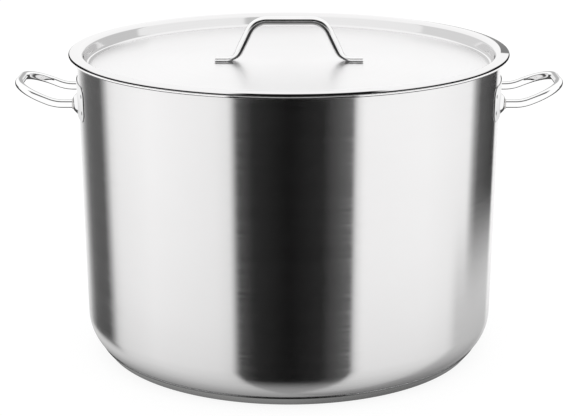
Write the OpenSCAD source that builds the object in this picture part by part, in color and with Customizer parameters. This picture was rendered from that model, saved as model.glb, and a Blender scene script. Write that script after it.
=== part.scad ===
// Catering stock pot with a drop-in lid.
// A drawn steel shell with a rolled rim stands on a sandwich base: an
// aluminium disc closed in by a thin steel cap. Two bent rod handles leave
// cone-shaped bosses on pressed plates that are spot-welded to the wall. The
// lid is a recessed pan that rests on the rim, with a bent rod handle whose
// flattened feet are spot-welded to the panel.
// Frame: origin at the centre of the underside, +Z up. The side handles stand
// at -X (left) and +X (right), and the lid handle runs along X.

/* [Pot] */
// Inside diameter at mid height
inner_d = 400; // [380:1:440]
// Height of the top of the rolled rim above the worktop
pot_h = 293.2; // [270:0.1:330]
// Sheet thickness of the shell
wall_t = 1; // [0.8:0.1:1.2]
// Outward lean of the wall, in degrees
wall_lean = 0.98; // [0:0.02:1.2]
// Outside radius where the wall starts to turn under
corner_r = 38; // [32:1:44]
// Outside radius of the tighter turn into the floor
floor_r = 14; // [10:1:18]
// Angle below level at which the two turns meet, in degrees
turn_a = 45; // [42:1:48]
// Outside radius of the rolled rim
rim_r = 3.45; // [3.2:0.05:3.6]
// Straight length of the rim's rolled-down edge
rim_lip = 0.8; // [0.4:0.1:1.2]

/* [Base] */
// Height of the shell's underside above the worktop
base_h = 5.6; // [4.5:0.1:7]
// Sheet thickness of the cap under the base
cap_t = 0.9; // [0.6:0.1:1.1]
// Radius of the cap's lower edge
cap_bottom_r = 181.4; // [174:0.1:183]
// Rounding of the cap's lower edge
cap_edge_r = 3; // [1.5:0.5:4]
// Angle below level at which the cap's side ends on the shell, in degrees
seam_a = 47; // [46:0.5:49]
// How far the cap's rim stands off the shell
seam_step = 1; // [0.7:0.1:1.2]

/* [Side handles] */
// Diameter of the handle rod
rod_d = 8; // [7:0.5:10]
// Distance between the two legs of one handle
leg_gap = 83; // [74:1:96]
// Height of the legs above the worktop
leg_z = 248.4; // [236:0.1:250]
// Distance from the pot's axis at which the legs start to bend up
leg_x = 213.9; // [212:0.1:220]
// Upward tilt of the loop, in degrees
loop_tilt = 22; // [12:1:32]
// Radius of the bend up into the loop
loop_bend_r = 40; // [24:1:44]
// Straight length between the bend and the loop's corner
loop_leg = 2.5; // [2:0.1:16]
// Radius of the loop's corners
loop_corner_r = 30; // [20:1:32]

/* [Handle plates] */
// Width of a plate across the pot
plate_w = 140; // [124:1:144]
// Height of a plate
plate_h = 34; // [32:1:40]
// How far a plate's middle sits above the handle's legs
plate_rise = 3.4; // [0:0.1:3.6]
// Sheet thickness of a plate
plate_t = 1.5; // [1:0.1:2]
// Corner rounding of a plate
plate_r = 10; // [6:1:14]
// Radius of a boss at its foot
boss_foot_r = 9.5; // [8.5:0.1:11]
// Radius of a boss at its mouth
boss_mouth_r = 5.6; // [5.2:0.1:6.2]
// How far a boss stands out from the plate
boss_h = 4.2; // [3.5:0.1:5.5]
// Height of the weld bead around a leg
bead_h = 1.5; // [1:0.1:2]
// Diameter of a spot weld
spot_d = 5; // [4:0.5:6]

/* [Lid] */
// Radius of the lid's outer edge
lid_r = 211; // [210.8:0.1:213]
// Sheet thickness of the lid
lid_t = 0.9; // [0.7:0.1:1.1]
// Radius of the flat panel
panel_r = 192; // [186:0.5:193]
// Radius of the bend from the panel into the recess wall
recess_fillet = 3.5; // [2.5:0.5:5]
// Lean of the recess wall, in degrees
recess_lean = 15; // [8:1:18]
// Straight length of the recess wall
recess_wall = 6.5; // [4:0.5:14]
// Radius of the bend from the recess wall into the flange
crown_r = 5; // [4:0.5:6]
// Downward slope of the flange, in degrees
flange_slope = 3; // [2:0.5:4]
// Radius of the turned-down edge
hem_r = 1.6; // [1.4:0.1:2]
// Straight length of the turned-down edge
hem_skirt = 0.4; // [0.2:0.1:0.8]
// Vertical gap between the rim and the lid
lid_gap = 0.05; // [0.03:0.01:0.3]

/* [Lid handle] */
// Diameter of the lid handle's rod
grip_d = 8; // [7:0.5:9]
// Height of the grip's top above the panel
grip_h = 43; // [38:0.5:52]
// Half length of the straight grip
grip_half = 21; // [14:1:30]
// Radius of the bend at the top of a leg
grip_top_r = 20; // [14:1:22]
// Radius of the bend at the foot of a leg
grip_foot_r = 13; // [10:1:14]
// Steepness of the legs, in degrees
grip_a = 64; // [56:1:68]
// Thickness of a flattened foot
foot_t = 3.2; // [2:0.1:3.2]
// Width of a flattened foot
foot_w = 11; // [9:0.5:13]
// Length of a flattened foot past the bend
foot_l = 11.5; // [10:0.2:16]

/* [Hidden] */
$fn = 96;
round_fn = 240;
rod_fn = 48;
steel = [0.78, 0.78, 0.77];
bright = [0.86, 0.86, 0.86];
alu = [0.7, 0.71, 0.73];
weld = [0.62, 0.61, 0.6];

// ---- shared helpers ----
// outside radius of the wall at height z
function wall_out(z) = inner_d / 2 + wall_t + (z - pot_h / 2) * tan(wall_lean);

// points of an arc about (x, z), both ends included
function arc(x, z, radius, from, to, steps) =
    [for (i = [0:steps])
        let (angle = from + (to - from) * i / steps)
        [x + radius * cos(angle), z + radius * sin(angle)]];

function reversed(points) = [for (i = [len(points) - 1:-1:0]) points[i]];

// bends are a hair thicker than the straights, which run a little way into them
swell = 0.04;
into = 0.3;
// how deep a spot weld reaches into a sheet, as a part of its thickness
spot_depth = 0.6;

// a bend of a rod in the XY plane, from +X round through the angle
module rod_bend(diameter, radius, angle)
    rotate_extrude(angle = angle, $fn = 128)
        translate([radius, 0]) circle(d = diameter + swell, $fn = rod_fn);

// a straight rod along +X
module rod_x(diameter, length)
    rotate([0, 90, 0]) cylinder(d = diameter, h = length, $fn = rod_fn);

// ---- shell: half sections are drawn as [radius, height] ----
// centres of the wide turn below the wall and the tight turn into the floor
corner_z = base_h + floor_r + (corner_r - floor_r) * sin(turn_a);
wall_foot_z = corner_z - corner_r * sin(wall_lean);
corner_x = wall_out(wall_foot_z) - corner_r * cos(wall_lean);
turn_x = corner_x + (corner_r - floor_r) * cos(turn_a);
turn_z = corner_z - (corner_r - floor_r) * sin(turn_a);
// the rolled rim: centre, inside radius and bevel of its edge
curl_z = pot_h - rim_r;
curl_x = wall_out(curl_z) + rim_r - wall_t;
curl_in_r = rim_r - wall_t;
rim_bevel = 0.3;

// shell outline from the middle of the floor to the foot of the wall, shrunk by inset
function shell_line(inset) = concat(
    [[0, base_h + inset]],
    arc(turn_x, turn_z, floor_r - inset, from = -90, to = -turn_a, steps = 10),
    arc(corner_x, corner_z, corner_r - inset, from = -turn_a, to = -wall_lean, steps = 12));

module shell_2d()
    polygon(concat(
        shell_line(0),
        arc(curl_x, curl_z, curl_in_r, from = 180, to = 0, steps = 14),
        [[curl_x + curl_in_r, curl_z - rim_lip],
         [curl_x + rim_r - rim_bevel, curl_z - rim_lip],
         [curl_x + rim_r, curl_z - rim_lip + rim_bevel]],
        arc(curl_x, curl_z, rim_r, from = 0, to = 180, steps = 20),
        reversed(shell_line(wall_t))));

// everything inside the shell's outside, up to the foot of the wall
module shell_block_2d() polygon(concat(shell_line(0), [[0, wall_foot_z]]));

module pot_body() color(steel) rotate_extrude($fn = round_fn) shell_2d();

// ---- sandwich base ----
// top of the cap's side, and the slope of that side
seam_x = turn_x + (floor_r + seam_step) * cos(seam_a);
seam_z = turn_z - (floor_r + seam_step) * sin(seam_a);
side_a = atan2(seam_z, seam_x - cap_bottom_r);
// step from the seam into the shell block, which trims the outline
seam_in = 3;
seam_up = 2.6;

// outline of the cap shrunk by inset
function cap_line(inset) =
    let (edge_x = cap_bottom_r - cap_edge_r * tan(side_a / 2),
         top_x = seam_x - inset * sin(side_a),
         top_z = seam_z + inset * cos(side_a))
    concat(
        [[0, inset]],
        arc(edge_x, cap_edge_r, cap_edge_r - inset, from = -90, to = -90 + side_a, steps = 6),
        [[top_x, top_z], [top_x - seam_in, top_z + seam_up], [0, top_z + seam_up]]);

module cap_2d()
    difference() {
        polygon(cap_line(0));
        polygon(cap_line(cap_t));
        shell_block_2d();
    }

module core_2d()
    difference() {
        polygon(cap_line(cap_t));
        shell_block_2d();
    }

module base_core() color(alu) rotate_extrude($fn = round_fn) core_2d();
module base_cap() color(steel) rotate_extrude($fn = round_fn) cap_2d();

// ---- side handles, drawn on the +X side and mirrored for the other ----
leg_y = leg_gap / 2;
wall_at_leg = wall_out(leg_z);
// the legs start just clear of the wall
leg_clear = 0.3;
leg_start_x = sqrt(pow(wall_at_leg, 2) - pow(leg_y - rod_d / 2, 2)) + leg_clear;
// where the bend ends and the tilted loop starts
loop_x = leg_x + loop_bend_r * sin(loop_tilt);
loop_z = leg_z + loop_bend_r * (1 - cos(loop_tilt));
corner_y = leg_y - loop_corner_r;

// leg from the wall and the bend up into the loop; side is -1 or 1 along Y
module rod_leg(side) {
    translate([leg_start_x, side * leg_y, leg_z]) rod_x(rod_d, leg_x - leg_start_x + into);
    translate([leg_x, side * leg_y, leg_z + loop_bend_r])
        rotate([90, 0, 0]) rotate([0, 0, -90])
            rod_bend(rod_d, loop_bend_r, loop_tilt);
}

// half of the loop without its crossbar, laid flat with its start at x = 0
module loop_half(side) {
    translate([-into, side * leg_y, 0]) rod_x(rod_d, loop_leg + 2 * into);
    translate([loop_leg, side * corner_y, 0])
        rotate([0, 0, side > 0 ? 0 : -90]) rod_bend(rod_d, loop_corner_r, 90);
}

module handle_rod()
    color(bright) union() {
        for (side = [-1, 1]) {
            rod_leg(side);
            translate([loop_x, 0, loop_z]) rotate([0, -loop_tilt, 0]) loop_half(side);
        }
        // crossbar
        translate([loop_x, 0, loop_z]) rotate([0, -loop_tilt, 0])
            translate([loop_leg + loop_corner_r, -corner_y - into, 0])
                rotate([-90, 0, 0]) cylinder(d = rod_d, h = 2 * (corner_y + into), $fn = rod_fn);
    }

// ---- handle plates ----
plate_z = leg_z + plate_rise;
// face of the plate at a leg's axis
plate_x = sqrt(pow(wall_at_leg + plate_t, 2) - pow(leg_y, 2));
// gap between a plate and the wall it lies on
plate_gap = 0.02;
// X range of the block that gives a plate its outline
blank_x = 150;
blank_depth = 70;
// a boss and its hollow start behind the plate's face, wider than the foot
boss_root = 4;
hollow_root = 6;
root_flare = 3.7;
// how much narrower the hollow's end is than the mouth
hollow_inset = 0.4;
// how far the leg's hole runs past the mouth
hole_past = 2;

// solid of the wall grown by grow, reaching past a plate's height by margin
module wall_solid(grow, margin) {
    low_z = plate_z - plate_h / 2 - margin;
    high_z = plate_z + plate_h / 2 + margin;
    translate([0, 0, low_z])
        cylinder(h = high_z - low_z, r1 = wall_out(low_z) + grow,
                 r2 = wall_out(high_z) + grow, $fn = 360);
}

module plate_2d() {
    square([plate_w - 2 * plate_r, plate_h], center = true);
    square([plate_w, plate_h - 2 * plate_r], center = true);
    for (x = [-1, 1], y = [-1, 1])
        translate([x * (plate_w / 2 - plate_r), y * (plate_h / 2 - plate_r)])
            circle(r = plate_r, $fn = 64);
}

// children on both leg axes from x on, with their Z turned to +X
module at_legs(x)
    for (side = [-1, 1])
        translate([x, side * leg_y, leg_z]) rotate([0, 90, 0]) children();

module handle_plate()
    color(bright) difference() {
        union() {
            intersection() {
                wall_solid(grow = plate_t, margin = 5);
                translate([blank_x, 0, plate_z]) rotate([90, 0, 90])
                    linear_extrude(height = blank_depth) plate_2d();
            }
            at_legs(plate_x - boss_root)
                cylinder(h = boss_h + boss_root, r1 = boss_foot_r + root_flare,
                         r2 = boss_mouth_r, $fn = 96);
        }
        wall_solid(grow = plate_gap, margin = 6);
        at_legs(plate_x - hollow_root) {
            cylinder(h = boss_h + hollow_root - plate_t, r1 = boss_foot_r + root_flare,
                     r2 = boss_mouth_r - hollow_inset, $fn = 96);
            cylinder(d = rod_d, h = boss_h + hollow_root + hole_past, $fn = rod_fn);
        }
    }

// ---- welds of the side handles ----
// gap between a bead and its boss
bead_gap = 0.01;
// the bead's section: [radius, distance out from the boss]
bead_section = [
    [rod_d / 2, 0],
    [boss_mouth_r - 0.1, 0],
    [rod_d / 2 + 0.5, bead_h * 0.4],
    [rod_d / 2, bead_h]];
// spot welds: distances in from a plate's ends and its upper and lower edges,
// and distance of the middle ones from the plate's centre line
spot_end_in = 6.5;
spot_edge_in = 9;
spot_middle_y = 12;

// fillet bead where a leg leaves its boss
module leg_weld_beads()
    color(weld) at_legs(plate_x + boss_h + bead_gap)
        rotate_extrude($fn = 64) polygon(bead_section);

// spot welds between plate and wall: near each end and near the middle
module plate_spot_welds()
    color(weld)
        for (out = [plate_w / 2 - spot_end_in, spot_middle_y], side = [-1, 1], level = [-1, 1])
            let (z = plate_z + level * (plate_h / 2 - spot_edge_in),
                 radius = wall_out(z))
                rotate([0, 0, asin(side * out / radius)])
                    translate([radius - wall_t * spot_depth, 0, z])
                        rod_x(spot_d, (wall_t + plate_t) * spot_depth);

module left_side() mirror([1, 0, 0]) children();

module right_handle_rod() handle_rod();
module left_handle_rod() left_side() handle_rod();
module right_handle_plate() handle_plate();
module left_handle_plate() left_side() handle_plate();
module right_leg_weld_beads() leg_weld_beads();
module left_leg_weld_beads() left_side() leg_weld_beads();
module right_plate_spot_welds() plate_spot_welds();
module left_plate_spot_welds() left_side() plate_spot_welds();

// ---- lid ----
// centre of the bend from the recess wall into the flange; its height leaves
// lid_gap between the flange's underside and the crest of the rolled rim
crown_x = panel_r + (recess_fillet + crown_r) * cos(recess_lean) + recess_wall * sin(recess_lean);
crown_in_r = crown_r - lid_t;
crown_z = pot_h + lid_gap - crown_in_r * cos(flange_slope)
        + (curl_x - crown_x - crown_in_r * sin(flange_slope)) * tan(flange_slope);
// upper face of the panel
panel_z = crown_z + crown_r * sin(recess_lean) - recess_wall * cos(recess_lean)
        - recess_fillet * (1 - sin(recess_lean));
// centre of the turned-down edge
hem_x = lid_r - hem_r;
hem_z = crown_z + (crown_r - hem_r) * cos(flange_slope)
      - (hem_x - crown_x + (hem_r - crown_r) * sin(flange_slope)) * tan(flange_slope);

// upper side of the lid, shrunk downwards by inset
function lid_line(inset) = concat(
    [[0, panel_z - inset]],
    arc(panel_r, panel_z + recess_fillet, recess_fillet + inset,
        from = -90, to = -recess_lean, steps = 8),
    arc(crown_x, crown_z, crown_r - inset,
        from = 180 - recess_lean, to = 90 - flange_slope, steps = 10),
    arc(hem_x, hem_z, hem_r - inset, from = 90 - flange_slope, to = 0, steps = 8),
    [[lid_r - inset, hem_z - hem_skirt]]);

module lid_pan()
    color(steel) rotate_extrude($fn = round_fn)
        polygon(concat(lid_line(0), reversed(lid_line(lid_t))));

// ---- lid handle ----
bar_z = panel_z + grip_h - grip_d / 2;
foot_z = panel_z + foot_t / 2;
// length of a leg's straight
leg_drop = bar_z - foot_z - (grip_top_r + grip_foot_r) * (1 - cos(grip_a));
grip_leg = leg_drop / sin(grip_a);
// end of the top bend, and the place where the lower bend would come level
leg_top_x = grip_half + grip_top_r * sin(grip_a);
foot_x = leg_top_x + grip_leg * cos(grip_a) + grip_foot_r * sin(grip_a);
// slope left in the lower bend where it ends over the foot, in degrees
run_out = 12;
// pressed ramp from the leg down to the foot: slope in degrees, distance of its
// low point past foot_x and depth of that point below the foot's top
ramp_a = 38;
ramp_x = 1.5;
ramp_sink = 0.1;
// height above the panel at which the lower bend is cut off
bend_clear = 0.05;
// how far the foot reaches back under the bend
foot_back = 3.5;
// the foot's spot weld: place along the foot and reach into it, as parts of its
// length and thickness
foot_spot_at = 0.55;
foot_spot_depth = 0.5;

// the lower bend, pressed flat towards the foot
module pressed_bend()
    difference() {
        translate([foot_x, 0, foot_z + grip_foot_r])
            rotate([90, 0, 0]) rotate([0, 0, -90 - grip_a])
                rod_bend(grip_d, grip_foot_r, grip_a - run_out);
        translate([foot_x - 20, -20, panel_z - 20 + bend_clear]) cube([40, 40, 20]);
        translate([foot_x + ramp_x, -20, panel_z + foot_t - ramp_sink]) rotate([0, ramp_a, 0])
            translate([-30, 0, 0]) cube([60, 40, 20]);
    }

// leg and foot at the +X end
module grip_end() {
    translate([grip_half, 0, bar_z - grip_top_r])
        rotate([90, 0, 0]) rotate([0, 0, 90 - grip_a])
            rod_bend(grip_d, grip_top_r, grip_a);
    translate([leg_top_x, 0, bar_z - grip_top_r * (1 - cos(grip_a))])
        rotate([0, grip_a, 0]) translate([-into, 0, 0])
            rod_x(grip_d, grip_leg + 2 * into);
    pressed_bend();
    translate([foot_x - foot_back, -foot_w / 2, panel_z])
        cube([foot_l + foot_back, foot_w, foot_t]);
}

module lid_handle()
    color(bright) union() {
        translate([-grip_half - into, 0, bar_z]) rod_x(grip_d, 2 * (grip_half + into));
        for (flip = [0, 1]) mirror([flip, 0, 0]) grip_end();
    }

module lid_handle_spot_welds()
    color(weld) for (side = [-1, 1])
        translate([side * (foot_x + foot_l * foot_spot_at), 0, panel_z - lid_t * spot_depth])
            cylinder(d = spot_d, h = lid_t * spot_depth + foot_t * foot_spot_depth, $fn = 48);

pot_body();
base_core();
base_cap();
left_handle_rod();
right_handle_rod();
left_handle_plate();
right_handle_plate();
left_leg_weld_beads();
right_leg_weld_beads();
left_plate_spot_welds();
right_plate_spot_welds();
lid_pan();
lid_handle();
lid_handle_spot_welds();
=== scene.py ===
import bpy, math
import numpy as np
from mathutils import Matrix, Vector


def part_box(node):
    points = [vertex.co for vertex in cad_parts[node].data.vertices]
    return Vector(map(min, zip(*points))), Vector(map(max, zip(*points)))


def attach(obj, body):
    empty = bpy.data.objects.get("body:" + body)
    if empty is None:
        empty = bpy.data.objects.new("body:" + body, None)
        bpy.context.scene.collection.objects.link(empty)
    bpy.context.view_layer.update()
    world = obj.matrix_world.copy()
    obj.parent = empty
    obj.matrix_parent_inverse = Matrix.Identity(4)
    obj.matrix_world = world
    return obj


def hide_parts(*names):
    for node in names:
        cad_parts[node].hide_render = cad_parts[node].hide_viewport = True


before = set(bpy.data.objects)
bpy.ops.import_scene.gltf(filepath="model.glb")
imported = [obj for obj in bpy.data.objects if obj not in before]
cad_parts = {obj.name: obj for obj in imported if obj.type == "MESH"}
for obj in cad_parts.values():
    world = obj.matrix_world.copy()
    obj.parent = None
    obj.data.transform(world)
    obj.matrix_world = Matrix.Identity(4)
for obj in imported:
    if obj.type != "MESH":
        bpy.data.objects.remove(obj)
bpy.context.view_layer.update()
MM = 0.001
pi = math.pi


def boxmm(node):
    lo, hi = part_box(node)
    return [v * 1000 for v in lo], [v * 1000 for v in hi]


# ---------------------------------------------------------------- sizes, mm, read off the frame
pot_lo, pot_hi = boxmm("pot_body")
cap_lo, cap_hi = boxmm("base_cap")
rod_lo, rod_hi = boxmm("right_handle_rod")
plate_lo, plate_hi = boxmm("right_handle_plate")
pan_lo, pan_hi = boxmm("lid_pan")
grip_lo, grip_hi = boxmm("lid_handle")

RIM_TOP = pot_hi[2]
FLOOR_Z = pot_lo[2]
RIM_OUT = pot_hi[0]
RIM_R = 3.45
WALL_T = 1.0
LEAN = math.radians(0.98)
CURL_X = RIM_OUT - RIM_R
CURL_Z = RIM_TOP - RIM_R


def wall_out(z):
    return CURL_X - RIM_R + WALL_T + (z - CURL_Z) * math.tan(LEAN)


# ---------------------------------------------------------------- profile helpers
def arc(cx, cz, r, a0, a1, n):
    return [(cx + r * math.cos(math.radians(a0 + (a1 - a0) * i / n)),
             cz + r * math.sin(math.radians(a0 + (a1 - a0) * i / n))) for i in range(n + 1)]


def line(p, q, step=6.0, edge=0.35):
    """points between p and q, close together near both ends so shading stays true there"""
    L = math.dist(p, q)
    if L < 4 * edge:
        return [p, q]
    ts = [0.0, edge, edge * 2.5]
    n = max(2, int((L - 5 * edge) / step))
    ts += [edge * 2.5 + (L - 5 * edge) * i / n for i in range(1, n)]
    ts += [L - edge * 2.5, L - edge, L]
    return [(p[0] + (q[0] - p[0]) * t / L, p[1] + (q[1] - p[1]) * t / L) for t in ts]


def chain(*parts):
    out = []
    for part in parts:
        for p in part:
            if not out or math.dist(out[-1], p) > 1e-4:
                out.append(p)
    return out


def rounded(points, radii, n=5):
    """a polyline with each inner corner replaced by an arc of its radius"""
    out = [points[0]]
    for i in range(1, len(points) - 1):
        p0, p1, p2 = (np.array(points[k], float) for k in (i - 1, i, i + 1))
        r = radii[i] if isinstance(radii, (list, tuple)) else radii
        u, v = p0 - p1, p2 - p1
        u, v = u / np.linalg.norm(u), v / np.linalg.norm(v)
        ang = math.acos(max(-1, min(1, float(u @ v))))
        if r <= 0 or ang > pi - 0.02:
            out.append(tuple(p1))
            continue
        t = r / math.tan(ang / 2)
        t = min(t, np.linalg.norm(p0 - p1) * 0.49, np.linalg.norm(p2 - p1) * 0.49)
        r = t * math.tan(ang / 2)
        c = p1 + (u + v) / np.linalg.norm(u + v) * (r / math.sin(ang / 2))
        a, b = p1 + u * t, p1 + v * t
        a0 = math.atan2(a[1] - c[1], a[0] - c[0])
        a1 = math.atan2(b[1] - c[1], b[0] - c[0])
        d = (a1 - a0 + pi) % (2 * pi) - pi
        out += [(c[0] + r * math.cos(a0 + d * k / n), c[1] + r * math.sin(a0 + d * k / n)) for k in range(n + 1)]
    out.append(points[-1])
    return out


def new_object(name, verts, faces, material, smooth=True):
    me = bpy.data.meshes.new(name)
    me.from_pydata([tuple(c * MM for c in v) for v in verts], [], faces)
    me.validate(clean_customdata=False)
    me.update()
    if smooth:
        me.polygons.foreach_set("use_smooth", [True] * len(me.polygons))
    ob = bpy.data.objects.new(name, me)
    bpy.context.scene.collection.objects.link(ob)
    me.materials.append(material)
    return ob


def lathe(name, profile, material, segs=360, wobble=None):
    """turns a profile round Z. A profile starts and ends on the axis, or is a closed loop."""
    on_axis = [abs(p[0]) < 1e-6 for p in profile]
    verts, rows = [], []
    for (r, z), ax in zip(profile, on_axis):
        if ax:
            rows.append([len(verts)])
            verts.append((0, 0, z))
            continue
        row = []
        for i in range(segs):
            a = 2 * pi * i / segs
            dr, dz = wobble(a, r, z) if wobble else (0, 0)
            row.append(len(verts))
            verts.append(((r + dr) * math.cos(a), (r + dr) * math.sin(a), z + dz))
        rows.append(row)
    faces = []
    n = len(rows)
    pairs = [(k, k + 1) for k in range(n - 1)]
    if not on_axis[0] and not on_axis[-1]:
        pairs.append((n - 1, 0))
    for k, m in pairs:
        a, b = rows[k], rows[m]
        for i in range(segs):
            j = (i + 1) % segs
            if len(a) == 1 and len(b) == 1:
                continue
            if len(a) == 1:
                faces.append((a[0], b[j], b[i]))
            elif len(b) == 1:
                faces.append((a[i], a[j], b[0]))
            else:
                faces.append((a[i], a[j], b[j], b[i]))
    return new_object(name, verts, faces, material)


def sweep(name, path, section, material, up=(0, 1, 0), cap=0.6):
    """sweeps section(k, t) -> [(u, v)] along a path of points; ends are closed with a rounded edge"""
    P = np.array(path, float)
    n = len(P)
    T = np.zeros_like(P)
    T[1:-1] = P[2:] - P[:-2]
    T[0], T[-1] = P[1] - P[0], P[-1] - P[-2]
    T /= np.linalg.norm(T, axis=1)[:, None]
    U = np.array(up, float)
    verts, rows = [], []
    s = np.concatenate([[0], np.cumsum(np.linalg.norm(P[1:] - P[:-1], axis=1))])

    def add(p, a, b, sec, shrink):
        row = []
        arr = np.array(sec)
        size = max(abs(arr[:, 0]).max(), 1e-6), max(abs(arr[:, 1]).max(), 1e-6)
        for u, v in sec:
            fu = max(0.0, (size[0] - shrink) / size[0])
            fv = max(0.0, (size[1] - shrink) / size[1])
            q = p + a * u * fu + b * v * fv
            row.append(len(verts))
            verts.append(tuple(q))
        rows.append(row)

    frames = []
    for k in range(n):
        a = U - T[k] * (U @ T[k])
        a /= np.linalg.norm(a)
        b = np.cross(T[k], a)
        frames.append((a, b))
        U = a
    first, last = section(0, s[0]), section(n - 1, s[-1])
    if cap > 0:
        for q in (90, 60, 30, 0):
            # q 90 is the flat end, q 0 the full section
            add(P[0] + T[0] * cap * (1 - math.sin(math.radians(q))), *frames[0], first, cap * (1 - math.cos(math.radians(q))))
    for k in range(n):
        if cap > 0 and (s[k] <= cap * 1.02 or s[-1] - s[k] <= cap * 1.02):
            continue
        add(P[k], *frames[k], section(k, s[k]), 0)
    if cap > 0:
        for q in (0, 30, 60, 90):
            add(P[-1] - T[-1] * cap * (1 - math.sin(math.radians(q))), *frames[-1], last, cap * (1 - math.cos(math.radians(q))))
    faces = []
    for r0, r1 in zip(rows[:-1], rows[1:]):
        m = len(r0)
        for i in range(m):
            j = (i + 1) % m
            faces.append((r0[i], r0[j], r1[j], r1[i]))
    for row, flip in ((rows[0], True), (rows[-1], False)):
        c = len(verts)
        verts.append(tuple(np.mean([verts[i] for i in row], axis=0)))
        m = len(row)
        for i in range(m):
            j = (i + 1) % m
            faces.append((row[j], row[i], c) if flip else (row[i], row[j], c))
    return new_object(name, verts, faces, material)


def fix_normals(ob):
    import bmesh
    bm = bmesh.new()
    bm.from_mesh(ob.data)
    bmesh.ops.recalc_face_normals(bm, faces=bm.faces)
    bm.to_mesh(ob.data)
    bm.free()


# ---------------------------------------------------------------- node helpers
class Nodes:
    def __init__(self, tree, keep=False):
        self.t = tree
        if not keep:
            tree.nodes.clear()

    def new(self, kind, **kw):
        n = self.t.nodes.new(kind)
        for k, v in kw.items():
            setattr(n, k, v)
        return n

    def link(self, a, b):
        self.t.links.new(a, b)

    def put(self, socket, value):
        if hasattr(value, "is_output"):
            self.link(value, socket)
        else:
            socket.default_value = value

    def math(self, op, a, b=0.0, c=None, clamp=False):
        n = self.new("ShaderNodeMath", operation=op, use_clamp=clamp)
        self.put(n.inputs[0], a)
        self.put(n.inputs[1], b)
        if c is not None:
            self.put(n.inputs[2], c)
        return n.outputs[0]

    def smooth(self, x, lo, hi, to_lo=0.0, to_hi=1.0):
        n = self.new("ShaderNodeMapRange", interpolation_type="SMOOTHSTEP")
        self.put(n.inputs["Value"], x)
        n.inputs["From Min"].default_value = lo
        n.inputs["From Max"].default_value = hi
        n.inputs["To Min"].default_value = to_lo
        n.inputs["To Max"].default_value = to_hi
        return n.outputs["Result"]

    def mix(self, f, a, b):
        n = self.new("ShaderNodeMix", data_type="RGBA")
        self.put(n.inputs["Factor"], f)
        self.put(n.inputs[6], a)
        self.put(n.inputs[7], b)
        return n.outputs[2]

    def mixf(self, f, a, b):
        n = self.new("ShaderNodeMix", data_type="FLOAT")
        self.put(n.inputs["Factor"], f)
        self.put(n.inputs[2], a)
        self.put(n.inputs[3], b)
        return n.outputs[0]

    def ramp(self, x, stops, interp="LINEAR"):
        n = self.new("ShaderNodeValToRGB")
        n.color_ramp.interpolation = interp
        el = n.color_ramp.elements
        while len(el) > 1:
            el.remove(el[-1])
        el[0].position = stops[0][0]
        el[0].color = (*stops[0][1], 1)
        for p, c in stops[1:]:
            e = el.new(p)
            e.color = (*c, 1)
        self.put(n.inputs[0], x)
        return n.outputs[0]


def lin(v):
    """8-bit display value to scene-linear"""
    v /= 255.0
    return v / 12.92 if v <= 0.04045 else ((v + 0.055) / 1.055) ** 2.4


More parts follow.
